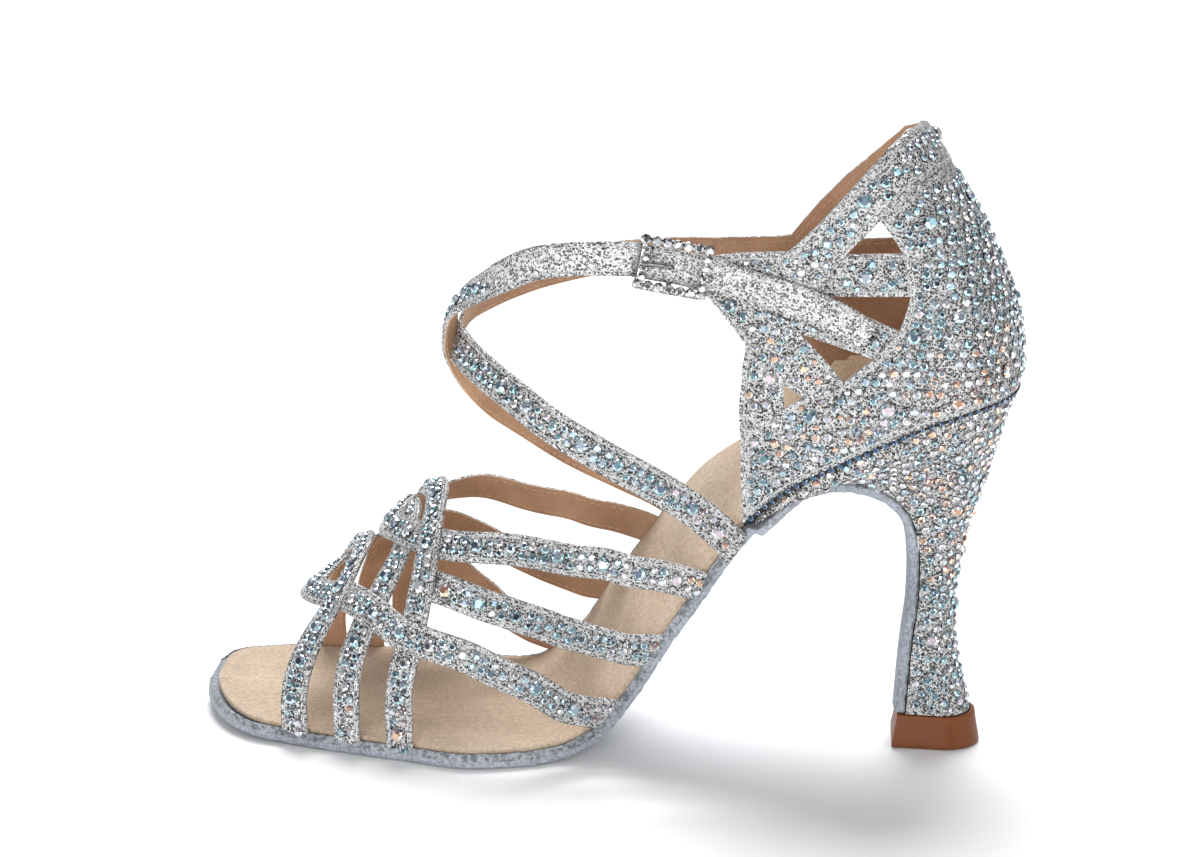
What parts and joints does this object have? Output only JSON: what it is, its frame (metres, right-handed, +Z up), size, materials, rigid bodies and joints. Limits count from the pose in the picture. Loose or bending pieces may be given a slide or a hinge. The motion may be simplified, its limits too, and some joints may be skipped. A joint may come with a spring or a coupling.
{
  "type": "ballroom dance shoe",
  "caption": "Left ballroom dance sandal: woven strap vamp, crossed instep and ankle straps with a buckle, cut-out heel cup and a tall flared heel.",
  "frame": {"origin": "middle of the heel tip's lower face, on the floor", "axes": "+X to the heel's back and the toe towards -X, +Y to the inner side of the foot, +Z up"},
  "size_m": [0.2083, 0.0797, 0.1584],
  "materials": {
    "suede_sole": "napped suede",
    "sock": "napped suede",
    "glitter_cover": "glitter cloth",
    "lining": "matte",
    "rhinestone": "faceted, foiled",
    "top_piece": "polished",
    "buckle_metal": "polished"
  },
  "bodies": {
    "root": {"outsole": "suede_sole", "insole": "sock", "heel": "glitter_cover", "heel_tip": "top_piece", "quarter": "glitter_cover", "vamp": "glitter_cover", "instep_strap": "glitter_cover", "ankle_strap": "glitter_cover", "buckle": "buckle_metal", "buckle_prong": "buckle_metal", "buckle_tab": "glitter_cover"}
  },
  "joints": []
}
